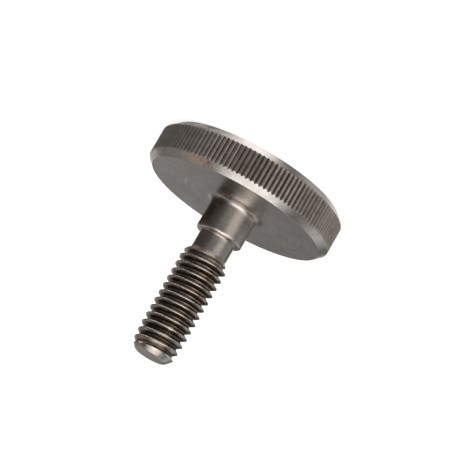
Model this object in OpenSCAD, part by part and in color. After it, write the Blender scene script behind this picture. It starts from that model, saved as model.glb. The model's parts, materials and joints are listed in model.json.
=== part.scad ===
// Knurled thumb screw with a thin wide head, turned from one steel bar.
// It stands on the outer face of its head: the origin is the centre of that face, and +Z points along the
// axis to the threaded tip. The thread keeps its crest diameter, run-in and end chamfer here, and its fine
// helix is left to the surface model.

/* [Head] */
// Diameter of the head over the crests of its knurl
head_d = 24; // [16:0.5:40]
// Thickness of the head between its two faces
head_h = 5; // [3:0.1:10]
// Chamfer at 45 degrees on the rim of the outer face
outer_chamfer = 1; // [0.3:0.1:1.3]
// Chamfer at 45 degrees on the rim of the face that seats on the work
seat_chamfer = 0.8; // [0.3:0.1:1.3]

/* [Knurl] */
// Pitch of the straight knurl, measured around the rim
knurl_pitch = 0.59; // [0.5:0.01:1.6]
// Flat land left on the crest of each ridge
knurl_land = 0.23; // [0.1:0.01:0.3]
// Angle between the two flanks of a groove
knurl_angle = 90; // [70:1:110]
// Turn of the first groove about the axis, from the X direction
knurl_turn = 0.6; // [0:0.1:3]

/* [Shank] */
// Length of the shank from the seating face to the tip
shank_l = 20.3; // [16:0.1:40]
// Diameter of the collar, and of the thread over its crests
shank_d = 5.9; // [4.9:0.1:8]
// Length of the plain collar under the head
collar_l = 4.1; // [2:0.1:8]
// Radius of the fillet between the head and the collar
root_fillet_r = 0.8; // [0.1:0.05:1]
// Radius of the rounded edge at the end of the collar
collar_edge_r = 0.3; // [0.1:0.05:0.4]

/* [Undercut and thread] */
// Depth of the undercut below the crests of the thread
undercut_depth = 0.7; // [0.5:0.05:1]
// Length of the undercut's straight part
undercut_l = 2.3; // [1.5:0.1:3.5]
// Radius of the fillet between the collar's shoulder and the undercut
shoulder_fillet_r = 0.35; // [0.05:0.05:0.4]
// Length of the cone that leads from the undercut up to the thread's crests
run_in_l = 0.9; // [0.4:0.1:1.5]
// Depth of the chamfer that points the tip
tip_chamfer = 1; // [0.5:0.1:1.5]
// Length of the chamfer that points the tip, along the axis
tip_chamfer_l = 1.1; // [0.5:0.1:2]

/* [Hidden] */
$fn = 96;

head_r = head_d / 2;
shank_r = shank_d / 2;
undercut_r = shank_r - undercut_depth;
tip_r = shank_r - tip_chamfer;

// Heights along the axis, from the outer face of the head up to the tip
embed_z = head_h / 2;
shoulder_z = head_h + collar_l;
run_in_z = shoulder_z + undercut_l;
thread_z = run_in_z + run_in_l;
tip_z = head_h + shank_l;

// The grooves are shared out evenly around the rim, at the nearest whole number to the stated pitch
grooves = round(PI * head_d / knurl_pitch);
groove_step = 360 / grooves;
groove_w = PI * head_d / grooves - knurl_land;
groove_half_turn = groove_step * groove_w / (groove_w + knurl_land) / 2;
groove_depth = groove_w / 2 / tan(knurl_angle / 2);
rim_stock = outer_chamfer / 2;

function on_circle(r, turn) = [r * cos(turn), r * sin(turn)];

// Section of the rim across the axis: each groove's root, then the two corners of the land after it
function knurl_outline() = [
    for (i = [0 : grooves - 1])
    let (turn = knurl_turn + i * groove_step)
    for (p = [
        on_circle(head_r - groove_depth, turn),
        on_circle(head_r, turn + groove_half_turn),
        on_circle(head_r, turn + groove_step - groove_half_turn)
    ]) p
];

// Material left in the corner of a quarter circle: a concave fillet with its corner at the origin
module fillet_section(r) {
    difference() {
        square(r);
        translate([r, r]) circle(r);
    }
}

// The chamfers run on outwards past the head's radius, and the knurl's outline then trims the rim
module head_blank() {
    rotate_extrude()
        polygon([
            [0, 0],
            [head_r - outer_chamfer, 0],
            [head_r + rim_stock, outer_chamfer + rim_stock],
            [head_r + rim_stock, head_h - seat_chamfer - rim_stock],
            [head_r - seat_chamfer, head_h],
            [0, head_h]
        ]);
}

module knurled_head() {
    intersection() {
        head_blank();
        linear_extrude(head_h) polygon(knurl_outline());
    }
}

// The collar starts inside the head, so that the two are one solid
module collar_section() {
    edge_z = shoulder_z - collar_edge_r;
    translate([0, embed_z]) square([shank_r, edge_z - embed_z]);
    translate([0, embed_z]) square([shank_r - collar_edge_r, shoulder_z - embed_z]);
    translate([shank_r - collar_edge_r, edge_z])
        intersection() {
            circle(collar_edge_r);
            square(collar_edge_r);
        }
    translate([shank_r, head_h]) fillet_section(root_fillet_r);
}

module threaded_section() {
    polygon([
        [0, embed_z],
        [undercut_r, embed_z],
        [undercut_r, run_in_z],
        [shank_r, thread_z],
        [shank_r, tip_z - tip_chamfer_l],
        [tip_r, tip_z],
        [0, tip_z]
    ]);
    translate([undercut_r, shoulder_z]) fillet_section(shoulder_fillet_r);
}

module shank() {
    rotate_extrude() {
        collar_section();
        threaded_section();
    }
}

module thumb_screw() {
    color([0.5, 0.48, 0.46]) {
        knurled_head();
        shank();
    }
}

thumb_screw();
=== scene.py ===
import json
import math

import bmesh
import bpy
from mathutils import Matrix, Vector, noise


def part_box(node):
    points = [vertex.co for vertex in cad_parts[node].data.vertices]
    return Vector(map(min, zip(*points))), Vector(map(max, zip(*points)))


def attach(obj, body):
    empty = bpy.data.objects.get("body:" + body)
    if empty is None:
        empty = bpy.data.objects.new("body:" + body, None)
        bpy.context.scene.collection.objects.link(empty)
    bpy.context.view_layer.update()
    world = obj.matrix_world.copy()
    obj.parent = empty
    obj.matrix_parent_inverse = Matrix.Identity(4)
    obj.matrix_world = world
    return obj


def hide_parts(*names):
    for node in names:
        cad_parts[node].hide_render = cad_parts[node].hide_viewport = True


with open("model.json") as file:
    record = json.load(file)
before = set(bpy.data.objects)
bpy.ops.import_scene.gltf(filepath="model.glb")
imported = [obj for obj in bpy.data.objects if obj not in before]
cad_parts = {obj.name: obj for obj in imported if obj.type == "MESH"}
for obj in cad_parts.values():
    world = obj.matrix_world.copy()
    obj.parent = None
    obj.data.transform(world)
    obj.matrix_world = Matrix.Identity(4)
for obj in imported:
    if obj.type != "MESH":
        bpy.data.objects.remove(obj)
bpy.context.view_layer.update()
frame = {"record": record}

# ---------------------------------------------------------------------------------------------------------
# Thumb screw
# One steel bar, turned in a lathe to a wide thin head and a slim shank, undercut under the collar, threaded
# with a die from the tip, and rolled under a straight knurling wheel around the rim of the head.
# All of it is one closed skin, worked in millimetres from the thread outwards and scaled at the end.
# ---------------------------------------------------------------------------------------------------------
MM = 0.001

mounts = {mount["name"]: mount for mount in frame["record"]["mounts"]}
low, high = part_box("thumb_screw")
head_r = round(high.x / MM, 2)
tip_z = high.z / MM
seat_z = mounts["seating_face"]["pos_m"][2] / MM
shank_r = mounts["thread"]["dims"]["r_mm"]
thread_middle = mounts["thread"]["pos_m"][2] / MM
thread_l = mounts["thread"]["dims"]["length_mm"]

outer_chamfer = 1.0
seat_chamfer = 0.8
root_fillet_r = 0.8
collar_l = 4.1
collar_edge_r = 0.3
shoulder_fillet_r = 0.35
undercut_r = 2.25
undercut_l = 2.3
tip_r = 1.95
tip_edge = 0.1
near = 0.0005

shoulder_z = seat_z + collar_l
run_in_z = shoulder_z + undercut_l
thread_start = thread_middle - thread_l / 2
thread_end = thread_middle + thread_l / 2

knurl_grooves = 128
knurl_turn = math.radians(0.6)
groove_half_w = 0.18
groove_depth = 0.18
groove_step = 2 * math.pi / knurl_grooves
knurl_pitch = head_r * groove_step


def wobble(x, y, z):
    """A smooth random value between about -1 and 1."""
    return noise.noise(Vector((x, y, z)))


def turn_of(vert):
    """The angle of a point about the axis."""
    return math.atan2(vert.co.y, vert.co.x)


def place(vert, turn, radius, height):
    """Moves a point to this angle, radius and height."""
    vert.co = Vector((radius * math.cos(turn), radius * math.sin(turn), height))


# The thread: half of one ridge, from its crest to its root, as depth below the crest and distance along
pitch = 1.0
crest_z = 12.05
half_ridge = [
    (0.0, 0.0),
    (0.003, 0.035),
    (0.018, 0.06),
    (0.05, 0.083),
    (0.25, 0.199),
    (0.43, 0.303),
    (0.565, 0.381),
    (0.612, 0.412),
    (0.636, 0.442),
    (0.64, 0.5),
]
root_depth = half_ridge[-1][0]
ridge = [(depth, -along) for depth, along in reversed(half_ridge[1:])] + half_ridge
thread_columns = knurl_grooves
first_turn = -2
turns = 17

# Wear of the crests: everywhere, growing along the thread, and again over the last few turns
even_wear = 0.02
wear_along = 0.07
wear_at_tip = 0.16
tip_wear_from = 0.82
unevenness = 0.012
dent_depth = 0.02
dents_from = 0.25
nick_turn = math.radians(-99)
nick_z = 21.75
nick_depth = 0.09
nick_half_w = 0.25
nick_half_l = 0.7


def crest_wear(turn, z):
    """How far the crests stand below the full diameter: uneven, dented, and nicked in one place."""
    towards_tip = (z - thread_start) / (thread_end - thread_start)
    at_tip = max(towards_tip - tip_wear_from, 0) / (1 - tip_wear_from)
    worn = even_wear + wear_along * max(towards_tip, 0) + wear_at_tip * at_tip
    uneven = unevenness * wobble(2.2 * math.cos(turn), 2.2 * math.sin(turn), 1.3 * z)
    dents = dent_depth * max(wobble(8 * math.cos(turn), 8 * math.sin(turn), 5 * z) - dents_from, 0)
    across_nick = max(1 - abs(turn - nick_turn) * shank_r / nick_half_w, 0)
    nick = nick_depth * across_nick * (abs(z - nick_z) < nick_half_l)
    return max(worn + uneven + dents, 0) + nick


def envelope(z):
    """Radius of the turned blank that the thread is cut into, with its run-in cone and pointed tip."""
    run_in = undercut_r + (z - run_in_z) * (shank_r - undercut_r) / (thread_start - run_in_z)
    point = tip_r + (tip_z - z) * (shank_r - tip_r) / (tip_z - thread_end)
    rounding = tip_edge * max(1 - (tip_z - z) / tip_edge, 0) ** 2
    return min(run_in, point - rounding, shank_r)


screw = bmesh.new()
first_z = crest_z + (first_turn + knurl_turn / (2 * math.pi)) * pitch
section = [
    screw.verts.new((shank_r - depth, 0, first_z + turn * pitch + along))
    for turn in range(turns)
    for depth, along in (ridge if turn == 0 else ridge[1:])
]
edges = [screw.edges.new(pair) for pair in zip(section, section[1:])]
bmesh.ops.rotate(screw, verts=section, matrix=Matrix.Rotation(knurl_turn, 3, "Z"))
bmesh.ops.spin(
    screw,
    geom=section + edges,
    axis=(0, 0, 1),
    cent=(0, 0, 0),
    dvec=(0, 0, pitch / thread_columns),
    angle=2 * math.pi,
    steps=thread_columns,
)
for vert in screw.verts:
    turn = turn_of(vert)
    z = min(max(vert.co.z, run_in_z), tip_z)
    wear_here = crest_wear(turn, z)
    radius = shank_r - wear_here - (shank_r - vert.co.xy.length) * (1 - wear_here / root_depth)
    place(vert, turn, min(radius, envelope(z)), z)
bmesh.ops.remove_doubles(screw, verts=screw.verts, dist=near)


def rim_at(z):
    """The open edges of the skin at this height."""
    return [
        edge for edge in screw.edges
        if edge.is_boundary and all(abs(vert.co.z - z) < near for vert in edge.verts)
    ]


def turn_on(rim, shape):
    """Carries the skin on from an open rim to a new one, whose points lie where shape(turn) puts them."""
    made = bmesh.ops.extrude_edge_only(screw, edges=rim)["geom"]
    for vert in made:
        if isinstance(vert, bmesh.types.BMVert):
            turn = turn_of(vert)
            radius, z = shape(turn)
            place(vert, turn, radius, z)
    return [edge for edge in made if isinstance(edge, bmesh.types.BMEdge)]


def turn_along(rim, section):
    """Carries the skin on along a section, given as radius and height."""
    for radius, z in section:
        rim = turn_on(rim, lambda turn: (radius, z))
    return rim


def arc(centre_r, centre_z, radius, start, end, pieces):
    """Points along an arc of the section, after its first. Its angles are in degrees from the radial way."""
    angles = [math.radians(start + (end - start) * step / pieces) for step in range(1, pieces + 1)]
    return [(centre_r + radius * math.cos(a), centre_z + radius * math.sin(a)) for a in angles]


def straight(start, end, pieces):
    """Points along a straight stretch of the section, after its first."""
    return [
        tuple(a + (b - a) * step / pieces for a, b in zip(start, end))
        for step in range(1, pieces + 1)
    ]


last_ring_r = 0.3
pole_r = 0.01


def close(rim, z):
    """Brings an open rim together in one point on the axis."""
    pole = turn_on(rim, lambda turn: (pole_r, z))
    verts = {vert for edge in pole for vert in edge.verts}
    bmesh.ops.pointmerge(screw, verts=list(verts), merge_co=(0, 0, z))


# The tip: a flat faced off end
rim = rim_at(tip_z)
rim = turn_along(rim, straight((tip_r - tip_edge, tip_z), (last_ring_r, tip_z), 6))
close(rim, tip_z)

# The undercut, the collar's shoulder, the collar and its fillet down to the seating face
rim = rim_at(run_in_z)
shoulder_arc_z = shoulder_z + shoulder_fillet_r
edge_arc_z = shoulder_z - collar_edge_r
section = straight((undercut_r, run_in_z), (undercut_r, shoulder_arc_z), 8)
section += arc(undercut_r + shoulder_fillet_r, shoulder_arc_z, shoulder_fillet_r, 180, 270, 8)
section += straight((undercut_r + shoulder_fillet_r, shoulder_z), (shank_r - collar_edge_r, shoulder_z), 3)
section += arc(shank_r - collar_edge_r, edge_arc_z, collar_edge_r, 90, 0, 7)
section += straight((shank_r, edge_arc_z), (shank_r, seat_z + root_fillet_r), 12)
section += arc(shank_r + root_fillet_r, seat_z + root_fillet_r, root_fillet_r, 180, 270, 12)
seat_outer_r = head_r - seat_chamfer
section += straight((shank_r + root_fillet_r, seat_z), (seat_outer_r - 0.1, seat_z), 16)
rim = turn_along(rim, section)

# The head: each column of the rim belongs to one groove of the knurl or to the land beside it
columns_per_groove = 10
tooth_columns = [0, 0.02, 0.09, 0.165, 0.2, knurl_pitch / 2]
depth_spread = 0.2
width_spread = 0.1
land_lean = 0.03
land_wear = 0.006


def groove_at(turn):
    """Depth of the knurl below the head's full radius. No two grooves and lands came out alike."""
    along = (turn - knurl_turn) / groove_step
    groove = round(along) % knurl_grooves
    land = math.floor(along) % knurl_grooves
    across = abs(along - round(along)) * knurl_pitch
    deep = groove_depth * (1 + depth_spread * wobble(7.3 * groove, 0.5, 2.1))
    wide = groove_half_w * (1 + width_spread * wobble(3.7 * groove, 9.1, 0.4))
    lean = land_lean * wobble(5.1 * land, 4.4, 7.7) * (along - math.floor(along) - 0.5)
    worn = land_wear * (1 + wobble(2.9 * land, 1.1, 3.3))
    return max(deep * (1 - across / wide), worn + lean, 0)


rim = turn_on(rim, lambda turn: (seat_outer_r, seat_z))
bmesh.ops.subdivide_edges(screw, edges=rim, cuts=columns_per_groove - 1)
rim = rim_at(seat_z)
rim_verts = sorted({vert for edge in rim for vert in edge.verts}, key=turn_of)
spread = tooth_columns + [knurl_pitch - across for across in tooth_columns[-2:0:-1]]
first = min(range(len(rim_verts)), key=lambda i: abs(turn_of(rim_verts[i]) - knurl_turn))
for i in range(len(rim_verts)):
    groove, column = divmod(i, columns_per_groove)
    turn = knurl_turn + groove * groove_step + spread[column] / head_r
    place(rim_verts[(first + i) % len(rim_verts)], turn, seat_outer_r, seat_z)

knurl_top = seat_z - seat_chamfer
knurl_bottom = outer_chamfer
band_rows = 8
for step in (0.5, 1.0):
    rim = turn_on(rim, lambda turn: (
        seat_outer_r + step * (seat_chamfer - groove_at(turn)),
        seat_z - step * (seat_chamfer - groove_at(turn)),
    ))
for row in range(1, band_rows + 1):
    share = row / band_rows
    rim = turn_on(rim, lambda turn: (
        head_r - groove_at(turn),
        (1 - share) * (knurl_top + groove_at(turn)) + share * (knurl_bottom - groove_at(turn)),
    ))
for step in (0.5, 1.0):
    rim = turn_on(rim, lambda turn: (
        head_r - groove_at(turn) - step * (outer_chamfer - groove_at(turn)),
        (1 - step) * (knurl_bottom - groove_at(turn)),
    ))
rim = turn_along(rim, straight((head_r - outer_chamfer, 0), (last_ring_r, 0), 4))
close(rim, 0)

bmesh.ops.recalc_face_normals(screw, faces=screw.faces)
bmesh.ops.scale(screw, vec=(MM, MM, MM), verts=screw.verts)


def settle(parts, rank):
    """Puts the points, edges or faces in one fixed order, which the operators don't keep from run to run."""
    for index, part in enumerate(sorted(parts, key=rank)):
        part.index = index
    parts.sort()
    parts.index_update()


settle(screw.verts, lambda vert: tuple(vert.co))
settle(screw.edges, lambda edge: sorted(vert.index for vert in edge.verts))
settle(screw.faces, lambda face: sorted(vert.index for vert in face.verts))
screw_mesh = bpy.data.meshes.new("thumb_screw_skin")
screw.to_mesh(screw_mesh)
screw.free()
sharp_from = math.radians(28)
screw_mesh.shade_smooth()
screw_mesh.set_sharp_from_angle(angle=sharp_from)
skin = bpy.data.objects.new("thumb_screw_skin", screw_mesh)
bpy.context.scene.collection.objects.link(skin)
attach(skin, "root")
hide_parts("thumb_screw")


# Where the surface is sheltered, darkened as old oily film and as painted shade, and where it is worn bright
# and given painted highlights. Both follow the shape.
def step_up(value, low, high):
    """A smooth step from 0 to 1."""
    share = min(max((value - low) / (high - low), 0), 1)
    return share * share * (3 - 2 * share)


above_seat_z = seat_z + 0.01


def sheltered(radius, turn, z):
    """1 deep in the thread and the knurl and in the collar's shoulder, and 0 on open surfaces."""
    if z > run_in_z:
        below_crest = envelope(z) - crest_wear(turn, z) - radius
        flanks = step_up(below_crest, 0.01, 0.4) - 0.7 * step_up(below_crest, 0.52, 0.6)
        return flanks * step_up(z, run_in_z + 0.6, thread_start + 0.4)
    if z > above_seat_z:
        return 0.8 * (1 - step_up(math.hypot(radius - undercut_r, z - shoulder_z), 0.15, 0.5))
    if knurl_bottom - 0.1 < z < knurl_top + 0.1 and radius > head_r - 0.3:
        return step_up(head_r - radius, 0.02, 0.17)
    return 0


def rubbed(radius, turn, z):
    """1 on the crests, the run-in, the collar's edge and the ends of the knurl's ridges: painted bright as
    worn metal and as highlights.
    """
    if z > run_in_z:
        crest = 1 - step_up(envelope(z) - crest_wear(turn, z) - radius, 0.002, 0.04)
        # A painted highlight on the run-in cone.
        run_in = 0.8 * (1 - step_up(z, thread_start - 0.3, thread_start + 0.3))
        return max(crest, run_in)
    if z > above_seat_z:
        return 1 - step_up(math.hypot(radius - shank_r + 0.1, z - shoulder_z + 0.1), 0.1, 0.35)
    ends = min(abs(z - knurl_bottom), abs(z - knurl_top))
    return (1 - step_up(ends, 0.05, 0.3)) * (radius > head_r - 0.35)


for name, value_at in (("sheltered", sheltered), ("rubbed", rubbed)):
    layer = screw_mesh.attributes.new(name, "FLOAT", "POINT")
    points = [vert.co / MM for vert in screw_mesh.vertices]
    values = [value_at(point.xy.length, math.atan2(point.y, point.x), point.z) for point in points]
    layer.data.foreach_set("value", values)


# Finishes: the same bar everywhere, but each surface was cut, rolled and worn in its own way.
def add(tree, kind, **settings):
    """A new node, with its own properties set."""
    made = tree.nodes.new(kind)
    for name, value in settings.items():
        setattr(made, name, value)
    return made


def feed(tree, value, socket):
    """Links an output to an input socket, or sets the socket to a plain value."""
    if isinstance(value, bpy.types.NodeSocket):
        tree.links.new(value, socket)
    else:
        socket.default_value = value


def math_of(tree, operation, *values):
    """A sum or other measure of values and outputs."""
    made = add(tree, "ShaderNodeMath", operation=operation)
    for value, socket in zip(values, made.inputs):
        feed(tree, value, socket)
    return made.outputs[0]


def ramp_of(tree, value, low, high, to_low=0.0, to_high=1.0):
    """The value carried smoothly from one range to another, and held at its ends."""
    made = add(tree, "ShaderNodeMapRange", interpolation_type="SMOOTHSTEP")
    for source, socket in zip((value, low, high, to_low, to_high), made.inputs):
        feed(tree, source, socket)
    return made.outputs["Result"]


def noise_of(tree, vector, scale, detail=2.0, roughness=0.5):
    """Soft noise from 0 to 1."""
    made = add(tree, "ShaderNodeTexNoise")
    feed(tree, vector, made.inputs["Vector"])
    feed(tree, scale, made.inputs["Scale"])
    feed(tree, detail, made.inputs["Detail"])
    feed(tree, roughness, made.inputs["Roughness"])
    return made.outputs["Fac"]


def mix_of(tree, factor, first, second):
    """The first colour where the factor is 0, and the second where it is 1."""
    made = add(tree, "ShaderNodeMix", data_type="RGBA")
    feed(tree, factor, made.inputs["Factor"])
    feed(tree, first, made.inputs[6])
    feed(tree, second, made.inputs[7])
    return made.outputs[2]


def axis_frame(tree):
    """Distance from the screw's axis, height along it, and the plain position, all in metres."""
    position = add(tree, "ShaderNodeTexCoord").outputs["Object"]
    split = add(tree, "ShaderNodeSeparateXYZ")
    feed(tree, position, split.inputs[0])
    squares = [math_of(tree, "POWER", axis, 2.0) for axis in split.outputs[:2]]
    across = math_of(tree, "SQRT", math_of(tree, "ADD", *squares))
    return across, split.outputs[2], position


def group_of(name, inputs, outputs):
    """A node group with number sockets, its input node and its output node."""
    tree = bpy.data.node_groups.new(name, "ShaderNodeTree")
    for socket, value in inputs.items():
        made = tree.interface.new_socket(socket, in_out="INPUT", socket_type="NodeSocketFloat")
        made.default_value = value
    for socket in outputs:
        tree.interface.new_socket(socket, in_out="OUTPUT", socket_type="NodeSocketFloat")
    return tree, add(tree, "NodeGroupInput").outputs, add(tree, "NodeGroupOutput").inputs


def turning_marks_group():
    """Fine rings left by the tool, all around the axis, which run along any turned surface."""
    tree, given, result = group_of("turning_marks", {"Rings per Metre": 4000, "Drift": 0.3}, ["Height"])
    across, along, position = axis_frame(tree)
    drift = math_of(tree, "MULTIPLY", noise_of(tree, position, 260.0, 1.0), given["Drift"])
    section = add(tree, "ShaderNodeCombineXYZ")
    for distance, socket in zip((across, along), section.inputs):
        rings = math_of(tree, "MULTIPLY", distance, given["Rings per Metre"])
        feed(tree, math_of(tree, "ADD", rings, drift), socket)
    feed(tree, noise_of(tree, section.outputs[0], 1.0, 3.0, 0.6), result["Height"])
    return tree


turning_marks = turning_marks_group()


def grime_and_shade_group():
    """Old oily soiling and painted shade in the sheltered places, with a ragged edge and thin spots."""
    tree, given, result = group_of("grime", {"Amount": 1.0, "Raggedness": 0.6, "Scale": 1500}, ["Mask"])
    shelter = add(tree, "ShaderNodeAttribute", attribute_name="sheltered").outputs["Fac"]
    position = add(tree, "ShaderNodeTexCoord").outputs["Object"]
    cloud = math_of(tree, "SUBTRACT", noise_of(tree, position, given["Scale"], 4.0, 0.6), 0.5)
    ragged = math_of(tree, "MULTIPLY", cloud, given["Raggedness"])
    mask = ramp_of(tree, math_of(tree, "ADD", shelter, ragged), 0.1, 0.9)
    feed(tree, math_of(tree, "MULTIPLY", mask, given["Amount"]), result["Mask"])
    return tree


grime = grime_and_shade_group()


def wear_and_highlight_group():
    """Edges worn bright, with painted highlights along them, broken up where the rubbing missed."""
    tree, given, result = group_of("wear", {"Amount": 1.0, "Brokenness": 1.0, "Scale": 2500}, ["Mask"])
    edge = add(tree, "ShaderNodeAttribute", attribute_name="rubbed").outputs["Fac"]
    position = add(tree, "ShaderNodeTexCoord").outputs["Object"]
    cloud = math_of(tree, "SUBTRACT", noise_of(tree, position, given["Scale"], 3.0, 0.6), 0.5)
    broken = math_of(tree, "MULTIPLY", cloud, given["Brokenness"])
    mask = ramp_of(tree, math_of(tree, "ADD", edge, broken), 0.35, 1.0)
    feed(tree, math_of(tree, "MULTIPLY", mask, given["Amount"]), result["Mask"])
    return tree


wear = wear_and_highlight_group()


def patch_group():
    """A stain or a burnish around one point, with a cloudy edge."""
    places = {"X": 0, "Y": 0, "Z": 0, "Radius": 0.002, "Cloud": 0.5, "Amount": 1}
    tree, given, result = group_of("patch", places, ["Mask"])
    position = add(tree, "ShaderNodeTexCoord").outputs["Object"]
    centre = add(tree, "ShaderNodeCombineXYZ")
    for name in "XYZ":
        feed(tree, given[name], centre.inputs[name])
    gap = add(tree, "ShaderNodeVectorMath", operation="DISTANCE")
    feed(tree, position, gap.inputs[0])
    feed(tree, centre.outputs[0], gap.inputs[1])
    share = math_of(tree, "DIVIDE", gap.outputs["Value"], given["Radius"])
    cloud = math_of(tree, "SUBTRACT", noise_of(tree, position, 1400.0, 4.0), 0.5)
    ragged = math_of(tree, "MULTIPLY", cloud, given["Cloud"])
    mask = ramp_of(tree, math_of(tree, "ADD", share, ragged), 1.0, 0.3)
    feed(tree, math_of(tree, "MULTIPLY", mask, given["Amount"]), result["Mask"])
    return tree


patch = patch_group()


def use(tree, group, **values):
    """A group placed in a material with its own values."""
    made = add(tree, "ShaderNodeGroup", node_tree=group)
    for name, value in values.items():
        feed(tree, value, made.inputs[name.replace("_", " ")])
    return made.outputs[0]


def steel(name, anisotropy=0.0):
    """A bare steel, with its tree and its Principled shader."""
    material = bpy.data.materials.new(name)
    material.use_nodes = True
    tree = material.node_tree
    shader = tree.nodes["Principled BSDF"]
    shader.inputs["Metallic"].default_value = 1.0
    if anisotropy:
        shader.inputs["Anisotropic"].default_value = anisotropy
        tangent = add(tree, "ShaderNodeTangent", direction_type="RADIAL", axis="Z")
        feed(tree, tangent.outputs[0], shader.inputs["Tangent"])
    return material, tree, shader


def bump(tree, shader, height, depth):
    """Relief of the given depth in metres."""
    made = add(tree, "ShaderNodeBump")
    made.inputs["Distance"].default_value = depth
    feed(tree, height, made.inputs["Height"])
    feed(tree, made.outputs[0], shader.inputs["Normal"])


def mottled(tree, light, dark, scale):
    """A colour that goes lighter and darker in soft clouds."""
    position = add(tree, "ShaderNodeTexCoord").outputs["Object"]
    cloud = ramp_of(tree, noise_of(tree, position, scale, 4.0, 0.6), 0.3, 0.7)
    return mix_of(tree, cloud, dark, light)


def grain_of(tree, scale):
    """The fine grain of a cut or rolled surface."""
    position = add(tree, "ShaderNodeTexCoord").outputs["Object"]
    return noise_of(tree, position, scale, 3.0, 0.6)


def polish(tree, shader, height, smoothest, roughest):
    """Roughness that follows the fine relief."""
    feed(tree, ramp_of(tree, height, 0.3, 0.7, smoothest, roughest), shader.inputs["Roughness"])


bare = (0.57, 0.525, 0.478, 1)
bare_dark = (0.46, 0.42, 0.38, 1)
bright = (0.70, 0.65, 0.60, 1)
warm = (0.57, 0.505, 0.455, 1)
warm_light = (0.66, 0.595, 0.545, 1)
warm_dark = (0.41, 0.355, 0.315, 1)
# The two oil colours below also serve as painted shade: in the grooves, the roots, the shoulder's corner and
# on one side of the collar.
oil_and_shade = (0.19, 0.155, 0.13, 1)
thick_oil_and_shade = (0.13, 0.095, 0.072, 1)
rust = (0.76, 0.48, 0.33, 1)
rust_pale = (0.82, 0.66, 0.54, 1)
# The pale scratched colour also serves as a painted glint on the head's face.
scratch_and_glint_white = (0.95, 0.90, 0.85, 1)
brown = (0.50, 0.36, 0.25, 1)
rust_dark = (0.36, 0.17, 0.13, 1)
rust_brown = (0.26, 0.15, 0.08, 1)
tan = (0.52, 0.475, 0.43, 1)

# The head's two faces: fine arcs left by the facing tool
faced, tree, shader = steel("faced_steel", anisotropy=0.45)
colour = mottled(tree, bare, bare_dark, scale=350.0)
marks = use(tree, turning_marks, Rings_per_Metre=3000.0, Drift=1.2)
colour = mix_of(tree, ramp_of(tree, marks, 0.35, 0.7, 0.0, 0.35), colour, bright)
# A painted glint: bright arcs of the tool marks on one side of the face, painted in a pale colour.
painted_glint = use(tree, patch, X=0.0068, Y=0.0003, Z=0.005, Radius=0.0021, Cloud=1.2, Amount=0.55)
streaks = ramp_of(tree, use(tree, turning_marks, Rings_per_Metre=3000.0, Drift=4.0), 0.52, 0.62)
painted_glint = math_of(tree, "MULTIPLY", painted_glint, streaks)
colour = mix_of(tree, painted_glint, colour, scratch_and_glint_white)
feed(tree, colour, shader.inputs["Base Color"])
polish(tree, shader, marks, smoothest=0.23, roughest=0.33)
bump(tree, shader, marks, depth=0.000008)

# The chamfers of the head: brighter, hazed and rust-stained in one stretch
chamfered, tree, shader = steel("chamfered_steel", anisotropy=0.2)
colour = mottled(tree, bright, bare, scale=900.0)
haze = use(tree, patch, X=0.0085, Y=-0.0076, Z=0.0046, Radius=0.0056, Cloud=1.4, Amount=0.8)
stain = use(tree, patch, X=0.0064, Y=-0.0096, Z=0.0046, Radius=0.0028, Cloud=1.8, Amount=0.85)
colour = mix_of(tree, haze, colour, tan)
colour = mix_of(tree, stain, colour, mottled(tree, rust_pale, rust, scale=1900.0))
feed(tree, colour, shader.inputs["Base Color"])
marks = use(tree, turning_marks, Rings_per_Metre=6000.0, Drift=0.6)
smooth = ramp_of(tree, marks, 0.3, 0.7, 0.22, 0.3)
dulled = math_of(tree, "MULTIPLY", haze, 0.3)
feed(tree, math_of(tree, "ADD", smooth, dulled), shader.inputs["Roughness"])
bump(tree, shader, marks, depth=0.000002)

# The knurl: dull lands, with old oily film and painted shade in the grooves, and the ends of the ridges worn
# bright and given painted highlights
knurled, tree, shader = steel("knurled_steel")
colour = mottled(tree, warm, warm_dark, scale=1300.0)
# Painted shade as well as oily film: the knurl's grooves are darkened by how deep they lie.
dirt_and_shade = use(tree, grime, Amount=0.8, Raggedness=0.5, Scale=1500.0)
colour = mix_of(tree, dirt_and_shade, colour, oil_and_shade)
# Painted highlight as well as worn metal: the ends of the ridges are painted bright.
ends = use(tree, wear, Amount=0.8, Brokenness=0.8, Scale=1500.0)
colour = mix_of(tree, ends, colour, bright)
feed(tree, colour, shader.inputs["Base Color"])
grain = grain_of(tree, scale=5000.0)
polish(tree, shader, grain, smoothest=0.3, roughest=0.42)
bump(tree, shader, grain, depth=0.000008)

# The collar and the neck: turned, with painted shade on one side of the collar, and an oily smudge on the
# neck
collared, tree, shader = steel("collar_steel", anisotropy=0.25)
colour = mottled(tree, warm, bare_dark, scale=700.0)
# Painted shade as well as oily film: the corner under the collar's shoulder is darkened.
dirt_and_shade = use(tree, grime, Amount=0.7, Raggedness=0.6, Scale=1200.0)
colour = mix_of(tree, dirt_and_shade, colour, warm_dark)
# Painted shade: one side of the collar is darkened with a patch of thick oil colour.
shade = use(tree, patch, X=0.003, Y=-0.001, Z=0.007, Radius=0.0028, Cloud=0.6, Amount=0.85)
colour = mix_of(tree, shade, colour, thick_oil_and_shade)
scorch = use(tree, patch, X=0.0021, Y=-0.0023, Z=0.0056, Radius=0.0009, Cloud=1.2, Amount=0.8)
colour = mix_of(tree, scorch, colour, rust_brown)
smudge = use(tree, patch, X=0.0019, Y=-0.0015, Z=0.0104, Radius=0.0014, Cloud=1.8, Amount=0.25)
colour = mix_of(tree, smudge, colour, thick_oil_and_shade)
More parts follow.
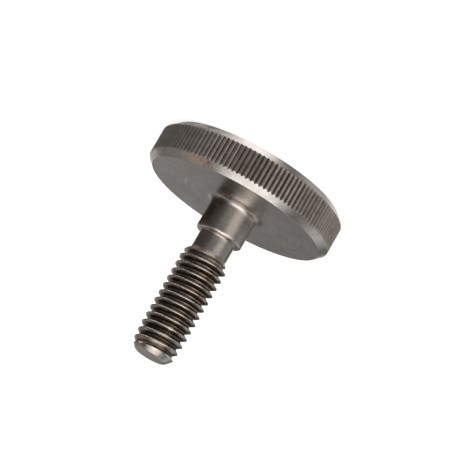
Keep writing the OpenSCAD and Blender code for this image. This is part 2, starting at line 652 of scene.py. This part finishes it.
# Painted highlight as well as worn metal: the collar's edge is painted bright.
edges = use(tree, wear, Amount=0.8, Brokenness=0.8, Scale=1500.0)
colour = mix_of(tree, edges, colour, bright)
feed(tree, colour, shader.inputs["Base Color"])
marks = use(tree, turning_marks, Rings_per_Metre=7000.0, Drift=0.4)
polish(tree, shader, marks, smoothest=0.24, roughest=0.34)
fine = math_of(tree, "ADD", math_of(tree, "MULTIPLY", marks, 0.35), grain_of(tree, scale=5000.0))
bump(tree, shader, fine, depth=0.000006)

# The thread: browned flanks, roots darkened as old oily film and as painted shade, and crests worn bright
# with painted highlights
threaded, tree, shader = steel("threaded_steel")
colour = mottled(tree, warm, warm_dark, scale=1300.0)
position = add(tree, "ShaderNodeTexCoord").outputs["Object"]
tint = ramp_of(tree, noise_of(tree, position, 480.0, 3.0, 0.6), 0.46, 0.62, 0.0, 0.85)
colour = mix_of(tree, tint, colour, brown)
# Painted shade as well as oily film: the thread's roots are darkened by how deep they lie.
dirt_and_shade = use(tree, grime, Amount=0.9, Raggedness=0.7, Scale=1800.0)
colour = mix_of(tree, dirt_and_shade, colour, thick_oil_and_shade)
# Painted highlight as well as worn metal: the crests and the run-in cone are painted bright.
crests = use(tree, wear, Amount=0.9, Brokenness=1.2, Scale=2500.0)
colour = mix_of(tree, crests, colour, bright)
nick = use(tree, patch, X=-0.0005, Y=-0.0027, Z=0.02175, Radius=0.0005, Cloud=1.2, Amount=1.0)
colour = mix_of(tree, nick, colour, scratch_and_glint_white)
feed(tree, colour, shader.inputs["Base Color"])
grain = grain_of(tree, scale=4500.0)
polish(tree, shader, grain, smoothest=0.22, roughest=0.36)
bump(tree, shader, grain, depth=0.000012)

# The tip: its end face and chamfer, with a dull red mark at the edge
tipped, tree, shader = steel("tip_steel")
colour = mottled(tree, warm_light, warm, scale=1500.0)
mark = use(tree, patch, X=0.0014, Y=-0.0021, Z=0.0248, Radius=0.0006, Cloud=0.9, Amount=0.8)
colour = mix_of(tree, mark, colour, rust_dark)
feed(tree, colour, shader.inputs["Base Color"])
grain = grain_of(tree, scale=4000.0)
polish(tree, shader, grain, smoothest=0.28, roughest=0.4)
bump(tree, shader, grain, depth=0.000008)

# Each face of the skin takes the finish of the surface that it lies on
near_flat = 0.99
near_chamfer = 0.5
finishes = [faced, chamfered, knurled, collared, threaded, tipped]
for finish in finishes:
    skin.data.materials.append(finish)
for face in screw_mesh.polygons:
    centre = face.center / MM
    across = centre.xy.length
    flat = abs(face.normal.z)
    on_blank = across > envelope(centre.z) - 0.03
    if (centre.z > thread_end and on_blank) or centre.z > tip_z - 0.001:
        finish = tipped
    elif centre.z > run_in_z:
        finish = threaded
    elif centre.z > above_seat_z:
        finish = collared
    elif flat > near_flat:
        finish = faced
    elif flat > near_chamfer:
        finish = chamfered
    else:
        finish = knurled
    face.material_index = finishes.index(finish)

# ---------------------------------------------------------------------------------------------------------
# Floor
# A sheet of pale paper under the head, wide enough to run out of sight. The steel doesn't mirror it, and
# the panels below it light the screw through it.
# ---------------------------------------------------------------------------------------------------------
floor_r = 3
paper_white = (0.9, 0.9, 0.9, 1)
paper_glow = 0.7

floor_mesh = bpy.data.meshes.new("floor")
plate = bmesh.new()
bmesh.ops.create_circle(plate, cap_ends=True, radius=floor_r, segments=64)
plate.to_mesh(floor_mesh)
plate.free()
floor = bpy.data.objects.new("floor", floor_mesh)
bpy.context.scene.collection.objects.link(floor)
paper = bpy.data.materials.new("pale_paper")
paper.use_nodes = True
shader = paper.node_tree.nodes["Principled BSDF"]
shader.inputs["Base Color"].default_value = paper_white
shader.inputs["Roughness"].default_value = 1.0
shader.inputs["Emission Color"].default_value = (1, 1, 1, 1)
shader.inputs["Emission Strength"].default_value = paper_glow
floor.data.materials.append(paper)
floor.visible_glossy = False
floor.visible_shadow = False

# ---------------------------------------------------------------------------------------------------------
# Studio light
# Soft panels around the screw, above it, beside it and below, in a dim white room. The steel mirrors the
# panels, and the camera sees plain white behind them.
# ---------------------------------------------------------------------------------------------------------
world = bpy.data.worlds.new("studio")
bpy.context.scene.world = world
world.use_nodes = True
tree = world.node_tree
split = add(tree, "ShaderNodeSeparateXYZ")
feed(tree, add(tree, "ShaderNodeTexCoord").outputs["Generated"], split.inputs[0])
azimuth = math_of(tree, "ARCTAN2", split.outputs[1], split.outputs[0])
elevation = math_of(tree, "ARCSINE", split.outputs[2])


def softbox_group():
    """A panel of light in one direction, with soft edges. All of its angles are in radians."""
    sockets = ["Azimuth", "Elevation", "At Azimuth", "At Elevation", "Width", "Height", "Blur", "Strength"]
    group, out, result = group_of("softbox", dict.fromkeys(sockets, 1), ["Light"])
    turn = math_of(group, "SUBTRACT", out["Azimuth"], out["At Azimuth"])
    turn = math_of(group, "ABSOLUTE", math_of(group, "WRAP", turn, math.pi, -math.pi))
    rise = math_of(group, "ABSOLUTE", math_of(group, "SUBTRACT", out["Elevation"], out["At Elevation"]))
    inside = []
    for away, size in ((turn, out["Width"]), (rise, out["Height"])):
        half = math_of(group, "DIVIDE", size, 2.0)
        outer = math_of(group, "ADD", half, out["Blur"])
        inner = math_of(group, "SUBTRACT", half, out["Blur"])
        inside.append(ramp_of(group, away, outer, inner))
    share = math_of(group, "MULTIPLY", *inside)
    feed(group, math_of(group, "MULTIPLY", share, out["Strength"]), result["Light"])
    return group


softbox = softbox_group()
# Each panel: azimuth and elevation of its middle, width, height and soft edge in degrees, and strength
panels = {
    "key": (-125, 10, 48, 52, 12, 1.0),
    "front": (-76, 2, 36, 32, 12, 0.3),
    "key_high": (-100, 45, 76, 34, 12, 2.2),
    "top": (-100, 76, 160, 28, 10, 1.3),
    "under_left": (0, -49, 84, 26, 10, 2.5),
    "under_back": (30, -76, 150, 26, 10, 1.6),
    "under_right": (150, -46, 60, 28, 12, 0.9),
    "back_left": (72, 9, 34, 34, 12, 0.42),
    "back_right": (138, 26, 30, 28, 12, 0.42),
    "back_low": (98, -20, 40, 34, 8, 0.8),
    "right": (172, 0, 50, 50, 15, 0.32),
    "back_high": (88, 50, 140, 30, 15, 0.4),
}
room = 0.08
light = room
for at_azimuth, at_elevation, width, height, blur, strength in panels.values():
    panel = add(tree, "ShaderNodeGroup", node_tree=softbox)
    feed(tree, azimuth, panel.inputs["Azimuth"])
    feed(tree, elevation, panel.inputs["Elevation"])
    for name, angle in (("At Azimuth", at_azimuth), ("At Elevation", at_elevation), ("Width", width),
                        ("Height", height), ("Blur", blur)):
        panel.inputs[name].default_value = math.radians(angle)
    panel.inputs["Strength"].default_value = strength
    light = math_of(tree, "ADD", light, panel.outputs[0])
seen = add(tree, "ShaderNodeLightPath").outputs["Is Camera Ray"]
light = mix_of(tree, seen, light, (1, 1, 1, 1))
background = tree.nodes["Background"]
feed(tree, light, background.inputs["Color"])

# ---------------------------------------------------------------------------------------------------------
# Camera
# A long lens, a little above the level of the head, which looks at the side of the shank. It is rolled so
# that the shank points down to the left.
# ---------------------------------------------------------------------------------------------------------
lens_mm = 200.3
elevation_deg = 13.934
roll_deg = 210.18
stand_mm = (-0.08, -286.28, 78.32)

camera_data = bpy.data.cameras.new("camera")
camera_data.sensor_width = 36
camera_data.lens = lens_mm
camera_data.clip_start = 0.01
camera = bpy.data.objects.new("camera", camera_data)
camera.location = [along * MM for along in stand_mm]
tilt = Matrix.Rotation(math.radians(90 - elevation_deg), 3, "X")
aim = tilt @ Matrix.Rotation(math.radians(roll_deg), 3, "Z")
camera.rotation_euler = aim.to_euler()
bpy.context.scene.collection.objects.link(camera)
bpy.context.scene.camera = camera
bpy.context.scene.view_settings.view_transform = "Standard"
